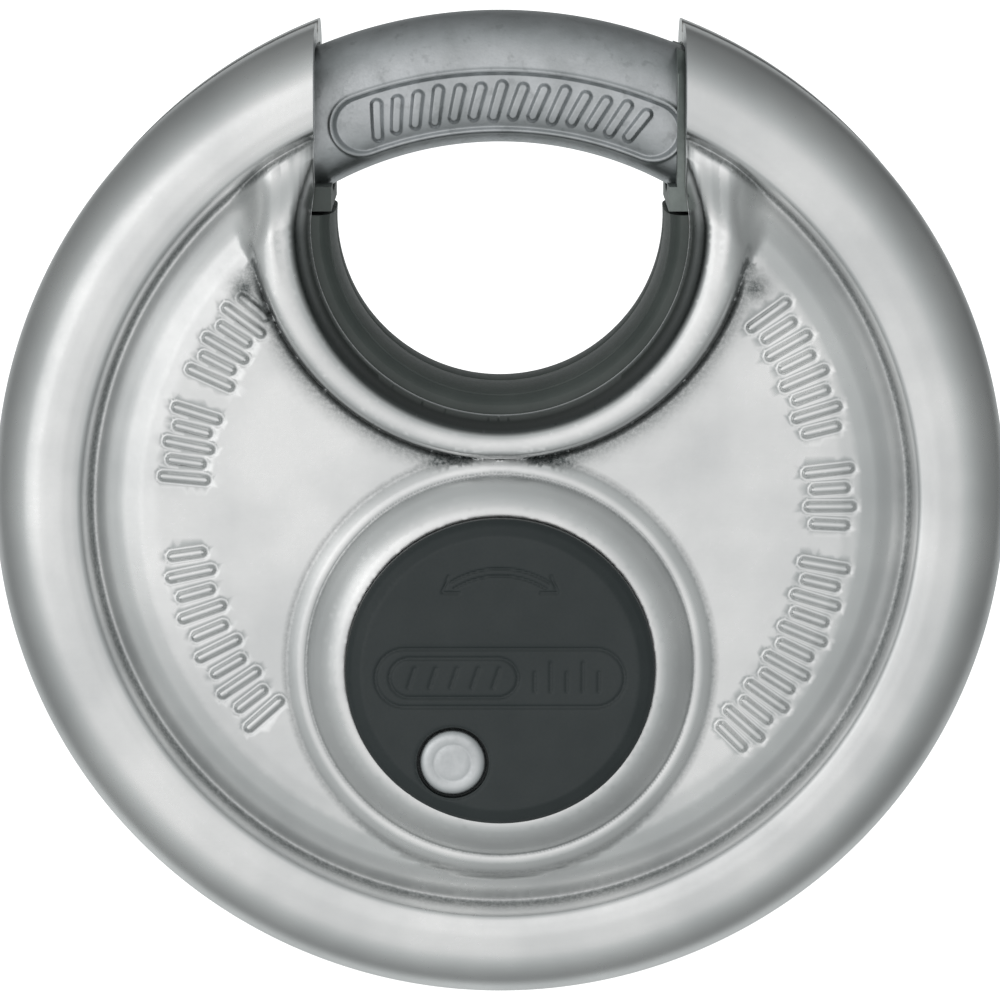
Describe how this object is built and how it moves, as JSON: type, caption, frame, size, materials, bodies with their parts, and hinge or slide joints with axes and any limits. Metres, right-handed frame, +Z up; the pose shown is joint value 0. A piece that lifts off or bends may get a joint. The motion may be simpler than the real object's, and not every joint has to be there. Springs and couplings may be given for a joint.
{
  "type": "disc padlock",
  "caption": "Round disc padlock with a drawn stainless case, a shrouded curved shackle that turns about the disc axis, a rotary disc cylinder and a swinging keyhole cover.",
  "frame": {"origin": "underside of the middle of the closed shackle, where a hasp staple carries the padlock; the axis of the round case is 27.9 mm below it", "axes": "+Z up, towards the shackle; -Y towards the front with the keyhole cover; the axis of the round case is parallel to Y"},
  "size_m": [0.08, 0.0254, 0.0779],
  "materials": {
    "stainless_shell": "satin stainless sheet, drawn and lightly polished",
    "weld_steel": "ground weld seam",
    "zinc_core": "die-cast zinc, matt",
    "rivet_steel": "turned steel, satin",
    "liner_plastic": "black moulded plastic, satin",
    "bush_metal": "grey sintered bush, satin",
    "shackle_steel": "hardened stainless, blasted grey",
    "hardened_steel": "hardened steel, dark satin",
    "brass": "machined brass",
    "cover_plastic": "black moulded plastic, satin"
  },
  "bodies": {
    "case": {"front_shell": "stainless_shell", "rear_shell": "stainless_shell", "rim_weld": "weld_steel", "core_front": "zinc_core", "core_rear": "zinc_core", "core_rivet_left": "rivet_steel", "core_rivet_right": "rivet_steel", "throat_liner": "liner_plastic", "shackle_bush_left": "liner_plastic", "shackle_bush_right": "bush_metal", "face_plate": "hardened_steel", "cylinder_housing": "brass", "cylinder_dowel": "hardened_steel", "cover_rivet": "rivet_steel", "cover_washer": "hardened_steel"},
    "shackle": {"shackle": "shackle_steel"},
    "plug": {"keyway_disc": "hardened_steel", "disc_carrier": "brass", "shackle_driver": "hardened_steel", "driver_clip": "hardened_steel", "disc_spacer_1": "hardened_steel", "disc_spacer_2": "hardened_steel", "disc_spacer_3": "hardened_steel", "disc_spacer_4": "hardened_steel"},
    "cover": {"keyhole_cover": "cover_plastic"},
    "sidebar": {"sidebar": "hardened_steel"},
    "disc_1": {"detainer_disc_1": "brass"},
    "disc_2": {"detainer_disc_2": "brass"},
    "disc_3": {"detainer_disc_3": "brass"},
    "disc_4": {"detainer_disc_4": "brass"},
    "disc_5": {"detainer_disc_5": "brass"}
  },
  "joints": [
    {"name": "shackle_swing", "type": "hinge", "parent": "case", "child": "shackle", "pos_m": [0, 0, -0.0279], "axis": [0, 1, 0], "range_deg": [0, 76]},
    {"name": "plug_turn", "type": "hinge", "parent": "case", "child": "plug", "pos_m": [0, 0, -0.0404], "axis": [0, 1, 0], "range_deg": [0, 142]},
    {"name": "cover_swing", "type": "hinge", "parent": "case", "child": "cover", "pos_m": [-0.0037, -0.013, -0.04745], "axis": [0, 1, 0], "range_deg": [-165, 165]},
    {"name": "sidebar_slide", "type": "slide", "parent": "plug", "child": "sidebar", "axis": [0, 0, 1], "range_m": [-0.00091, 0]},
    {"name": "disc_1_turn", "type": "hinge", "parent": "plug", "child": "disc_1", "pos_m": [0, 0, -0.0404], "axis": [0, 1, 0], "range_deg": [0, 90]},
    {"name": "disc_2_turn", "type": "hinge", "parent": "plug", "child": "disc_2", "pos_m": [0, 0, -0.0404], "axis": [0, 1, 0], "range_deg": [0, 90]},
    {"name": "disc_3_turn", "type": "hinge", "parent": "plug", "child": "disc_3", "pos_m": [0, 0, -0.0404], "axis": [0, 1, 0], "range_deg": [0, 90]},
    {"name": "disc_4_turn", "type": "hinge", "parent": "plug", "child": "disc_4", "pos_m": [0, 0, -0.0404], "axis": [0, 1, 0], "range_deg": [0, 90]},
    {"name": "disc_5_turn", "type": "hinge", "parent": "plug", "child": "disc_5", "pos_m": [0, 0, -0.0404], "axis": [0, 1, 0], "range_deg": [0, 90]}
  ],
  "couplings": [
    {"joint": "plug_turn", "follows": "shackle_swing", "ratio": 1.8681},
    {"joint": "sidebar_slide", "follows": "shackle_swing", "m_per_rad": -0.0006785}
  ]
}
